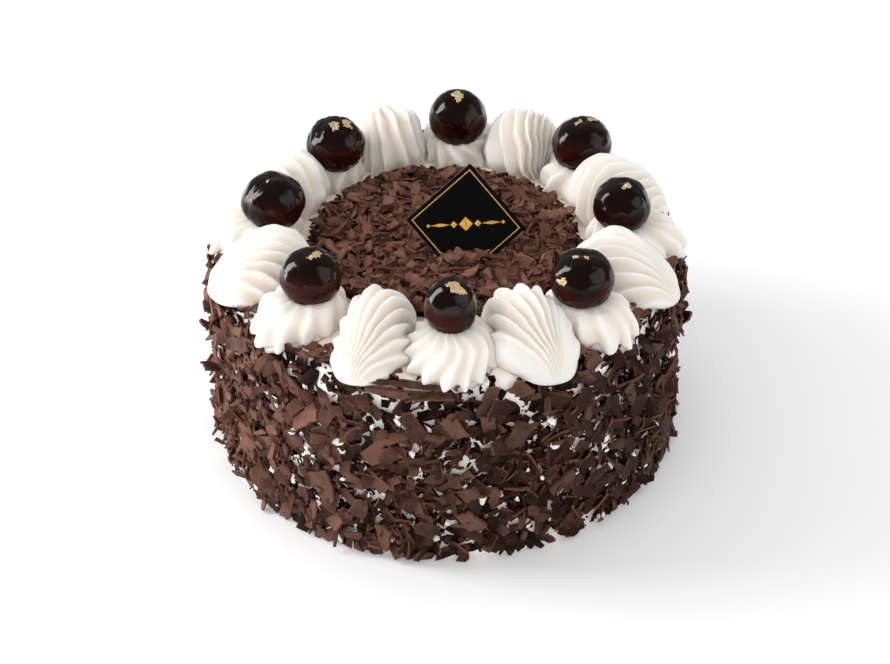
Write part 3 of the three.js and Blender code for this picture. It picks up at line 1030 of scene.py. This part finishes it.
def scatter_side(name, random, shapes, count, lean, lift, low, high, **look):
    """Shavings stuck to the cake's side, spread evenly and thinned where fewer stuck."""
    places = []
    for number in range(count):
        bearing = (number + random.uniform(-0.3, 0.3)) * GOLDEN_TURN
        height = lerp(low, high, (number + 0.5) / count) + random.uniform(-1.0, 1.0)
        keep = random.random()
        tilt, spin, roll, size, rise = draw_pose(random, lean, lift, USUAL_SIZES, 1.2)
        # The random tone gets painted light from the side's bearing: lighter on the left, darker
        # at the front right.
        tone = random.random() ** 1.25 + painted_side_light(bearing)
        shape = shapes[random.integers(len(shapes))]
        if keep > side_coverage(bearing, height):
            continue
        round_off = RIM_ROUND * (1 - cos(smooth_step(72, 80.5, height)))
        point, facing = on_side(bearing, COAT_RADIUS + rise - round_off, height)
        if random.random() < 0.3:
            facing = facing @ np.diag([1.0, -1.0, -1.0])
        places.append((shape, turned(spin, tilt, roll, facing) * size, point, tone))
    scatter(name, places, **look)


def scatter_flat(name, random, shapes, count, lean, lift, rings, sizes=USUAL_SIZES):
    """Shavings lying on the top between two radii, clear of the piped cream."""
    places = []
    flat = np.eye(3)
    for number in range(count):
        share = (number + random.random()) / count
        radius = sqrt(lerp(rings[0] ** 2, rings[1] ** 2, share))
        bearing = number * GOLDEN_TURN
        tilt, spin, roll, size, rise = draw_pose(random, lean, lift, sizes, 1.1)
        # Tones on the top run lighter than those on the side: painted light and sheen from above.
        tone = lerp(0.15, 2.0, random.random())
        shape = shapes[random.integers(len(shapes))]
        x, y = radius * cos(bearing), radius * sin(bearing)
        base = BED_TOP + bed_rise(x, y)
        if radius > BED_REACH:
            base = CAKE_HEIGHT
            if under_piping(bearing, radius):
                continue
            if random.random() > side_coverage(bearing, CAKE_HEIGHT):
                continue
        point = np.array([x, y, base + rise])
        places.append((shape, turned(spin, tilt, roll, flat) * size, point, tone))
    scatter(name, places)


def strips(random, count, lengths, widths, thicknesses, cells, ragged):
    """Several shapes of shaving, with sizes drawn between two ends."""
    ranges = (lengths, widths, thicknesses)
    return [
        shaving(random, *[random.uniform(*ends) for ends in ranges], cells, ragged)
        for _ in range(count)
    ]


draw = np.random.default_rng(41)
plates = strips(draw, 40, (4.8, 9.8), (2.2, 4.7), (0.55, 0.9), (4, 2), 0.16)
slivers = strips(draw, 20, (4.5, 9.0), (1.0, 1.9), (0.5, 0.9), (4, 1), 0.14)
slabs = strips(draw, 18, (8.5, 13.5), (4.4, 7.6), (0.7, 1.0), (8, 4), 0.4)
chips = strips(draw, 24, (2.2, 4.8), (1.5, 3.1), (0.5, 0.85), (2, 1), 0.14)
crumbs = [crumb(draw, draw.uniform(0.7, 1.8)) for _ in range(10)]

scatter_side("side_chips", draw, chips, 6000, 0.42, (-0.3, 1.4), 1.5, 80.0)
scatter_side("side_plates", draw, plates, 2450, 0.44, (0.4, 2.8), 2.0, 78.5)
scatter_side("side_slivers", draw, slivers, 560, 0.6, (0.9, 3.4), 2.0, 79.0)
scatter_side("side_slabs", draw, slabs, 150, 0.42, (1.8, 3.2), 6.0, 73.0)
scatter_side("side_crumbs", draw, crumbs, 2600, 0.6, (0.2, 2.4), 1.0, 80.0)

scatter_flat("rim_shavings", draw, chips + plates, 700, 0.5, (-0.2, 0.9), (77.0, 85.5), (0.7, 1.0))

# Single large shavings on the side: length, width, thickness, bearing, height, spin in degrees,
# how far they stand off the coat, and how far they lean out.
SINGLE_SHAVINGS = [
    (19, 2.6, 0.9, -102, 77.9, -3, 5.2, -66),
    (20, 2.4, 0.8, -92.6, 77.6, 2, 5, -72),
    (33, 5.4, 0.8, -97.4, 75.4, 1, 2, 24),
    (11, 2.6, 0.8, -97, 75.6, 4, 4, 10),
    (26, 2.6, 0.8, -98.5, 80.2, -1, 2.4, -40),
    (14, 7.6, 0.9, -73.5, 57.2, 54, 5, 8),
    (15.6, 5.4, 0.9, -80.6, 73.7, 76, 4.2, 10),
    (16.5, 6.4, 0.9, -96.9, 63.5, -75, 4.4, 14),
    (18.5, 5, 1, -103.5, 46.5, 60, 4.6, 20),
    (13, 8.5, 0.9, -146, 72, 8, 3.6, -10),
    (12.5, 5.5, 0.9, -162, 44, 62, 5.6, 48),
    (15, 3.6, 0.9, -146, 10, 40, 5.2, 30),
    (8, 6.4, 2, -53.9, 78, -51, 2.6, 8),
    (17, 4.4, 0.9, -42.1, 56, -60, 4.2, 12),
    (9.5, 6, 0.9, -72.6, 75.8, -44, 3, 6),
    (17, 2.6, 0.8, -130.1, 70.5, -82, 4, 10),
    (11, 5.4, 0.9, -117.9, 60, 65, 4, 12),
    (12, 6, 0.9, -110.5, 70, 15, 3.8, -16),
    (13.5, 6, 0.9, -88, 63, -62, 4.2, 12),
    (13, 6, 0.9, -110, 22, 70, 4.8, 16),
    (14, 6.5, 0.9, -84, 20, -60, 4.8, 16),
    (13, 5.4, 0.9, -62, 30, 48, 4.6, 14),
]


def place_single_shavings(random):
    """The large shavings of the side, one by one."""
    places = []
    for length, width, thick, bearing, height, spin, stand, lean in SINGLE_SHAVINGS:
        shape = shaving(random, length, width, thick, (max(6, int(length / 1.1)), 6), 0.6)
        point, facing = on_side(radians(bearing), COAT_RADIUS + stand, height)
        tilt = (rotation("X", lean) @ rotation("Z", spin)).to_3x3()
        places.append((shape, facing @ np.array(tilt), point, random.uniform(0.25, 0.7)))
    scatter("single_shavings", places)


place_single_shavings(draw)

scatter_flat("top_chips", draw, chips, 1700, 0.5, (-0.3, 1.5), (0, 51.0))
scatter_flat("top_plates", draw, plates, 620, 0.45, (0.2, 2.5), (0, 49.0))
scatter_flat("top_slivers", draw, slivers, 300, 0.5, (0.6, 2.8), (0, 48.0), (0.7, 1.0))
scatter_flat("top_slabs", draw, slabs, 130, 0.42, (1.4, 3.0), (0, 45.0), (0.55, 0.9))
scatter_flat("top_crumbs", draw, crumbs, 2400, 0.6, (0.3, 2.6), (0, 49.0))

dabs = [smear(draw, draw.uniform(1.8, 4.4)) for _ in range(14)]
scatter_side(
    "cream_dabs", draw, dabs, 480, 0.25, (1.0, 2.3), 2.0, 79.0, slot="cream", material=COAT_CREAM
)

# ---- Card ----

CARD_SIDE = 31.8
CARD_THICKNESS = 0.8
CARD_CENTRE = Vector((7.7, -7.0, 94.2))
CARD_LEAN, CARD_YAW, CARD_ROLL = 32.8, 6.2, -7.4  # degrees: back, round +Z and in its plane
FOIL_LINE = 0.34  # width of the gold border line
FOIL_INSET = CARD_SIDE * (1 - 0.903) / 2  # from the card's edge in to that line
FOIL_THICKNESS = 0.04
FACE, FOIL, CUT_EDGE = range(3)  # the card's materials


def card_turn():
    """Moves the card from the middle of the frame to its place, standing on a corner."""
    yawed = Matrix.Translation(CARD_CENTRE) @ rotation("Z", CARD_YAW)
    return yawed @ rotation("X", -CARD_LEAN) @ rotation("Y", 45 - CARD_ROLL)


# The ornament across the middle of the card: each lozenge's place, width and height.
LOZENGES = [(0.0, 5.2, 5.2)] + [
    (side * across, width, height)
    for side in (-1, 1)
    for across, width, height in ((4.5, 2.6, 2.6), (9.6, 7.4, 1.3), (14.0, 1.5, 1.5))
]


def add_lozenge(bm, across, width, height):
    """A lozenge of gold foil on the card's face."""
    verts = bmesh.ops.create_cone(
        bm, cap_ends=True, segments=4, radius1=0.5, radius2=0.5, depth=FOIL_THICKNESS
    )["verts"]
    bmesh.ops.scale(bm, vec=(width, height, 1), verts=verts)
    onto_face = Matrix.Translation((across, -(CARD_THICKNESS + FOIL_THICKNESS) / 2, 0))
    place = card_turn() @ rotation("Y", CARD_ROLL - 45) @ onto_face @ rotation("X", 90)
    bmesh.ops.transform(bm, matrix=place, verts=verts)
    for vert in verts:
        for face in vert.link_faces:
            face.material_index = FOIL


def make_card():
    """A square card with a gold border line and ornament on its face and a pale cut edge."""
    bm = bmesh.new()
    bmesh.ops.create_cube(bm, size=1.0)
    bmesh.ops.scale(bm, vec=(CARD_SIDE, CARD_THICKNESS, CARD_SIDE), verts=bm.verts)
    for face in bm.faces:
        face.material_index = FACE if abs(face.normal.y) > 0.5 else CUT_EDGE
    front = [face for face in bm.faces if face.normal.y < -0.5]
    bmesh.ops.inset_region(bm, faces=front, thickness=FOIL_INSET, use_even_offset=True)
    line = bmesh.ops.inset_region(bm, faces=front, thickness=FOIL_LINE, use_even_offset=True)
    for face in line["faces"]:
        face.material_index = FOIL
    bmesh.ops.transform(bm, matrix=card_turn(), verts=bm.verts)
    for lozenge in LOZENGES:
        add_lozenge(bm, *lozenge)
    materials = [BLACK_CARD, GOLD_FOIL, CARD_CORE]
    mesh = mesh_from(bm, "card_printed")
    finish_piece(mesh, materials, ["card"], crease=30)


make_card()

# ---- Floor, light and camera ----

FLOOR_REACH = 3000.0
# From here on, places and sizes are in metres.
CAKE_MIDDLE = Vector((0.0, 0.0, 0.07))
KEY_PLACE = Vector((-0.68, 0.04, 0.36))
KEY_SIZE = (0.28, 0.72)
KEY_POWER = 4.9
CAMERA_PLACE = (0.0, -0.6806, 0.5248)
CAMERA_DIP = 35.468  # degrees below level
CAMERA_LENS = 86.93


def make_floor():
    """What the cake stands on."""
    bm = bmesh.new()
    bmesh.ops.create_grid(bm, x_segments=1, y_segments=1, size=FLOOR_REACH)
    mesh = mesh_from(bm, "floor")
    mesh.materials.append(PALE_FLOOR)
    floor = add_object(mesh)


def make_key_light():
    """One large soft light on the left."""
    light = bpy.data.lights.new("key", "AREA")
    light.shape = "RECTANGLE"
    light.size, light.size_y = KEY_SIZE
    light.energy = KEY_POWER
    lamp = add_object(light)
    lamp.location = KEY_PLACE
    lamp.rotation_euler = (KEY_PLACE - CAKE_MIDDLE).to_track_quat("Z", "Y").to_euler()


def make_world():
    """A pale studio, brighter behind, in front and on the right.

    What mirrors it sees a dimmer room with one soft window on the right.
    """
    sky = Recipe(bpy.data.worlds.new("studio"), "Generated")
    wall = sky.toward((-0.1, 0.95, 0.35)).ramp(0.2, 0.8)
    background = sky.tree.nodes["Background"]
    sky.feed(background.inputs["Color"], (1.0, 1.0, 1.0))
    front = sky.toward((-0.15, -0.8, 0.58)).ramp(0.5, 1.0)
    right = sky.toward((0.97, -0.05, 0.3)).ramp(0.72, 1.0)
    light = 0.7 + wall * 0.25 + front * 0.6 + right * 0.5
    window = sky.toward((0.9, -0.3, 0.42)).ramp(0.86, 0.96)
    glint = 0.1 + wall * 0.12 + window * 0.75
    mirrored = sky.node("LightPath", {}, [], "Is Glossy Ray")
    sky.feed(background.inputs["Strength"], light * (1 - mirrored) + glint * mirrored)
    bpy.context.scene.world = sky.holder


def make_camera():
    """A long lens, from the front and above."""
    lens = bpy.data.cameras.new("camera")
    lens.sensor_width = 36.0
    lens.lens = CAMERA_LENS
    camera = add_object(lens)
    camera.location = CAMERA_PLACE
    camera.rotation_euler = (radians(90 - CAMERA_DIP), 0, 0)
    bpy.context.scene.camera = camera


make_floor()
make_world()
make_key_light()
make_camera()
bpy.context.scene.view_settings.view_transform = "Standard"
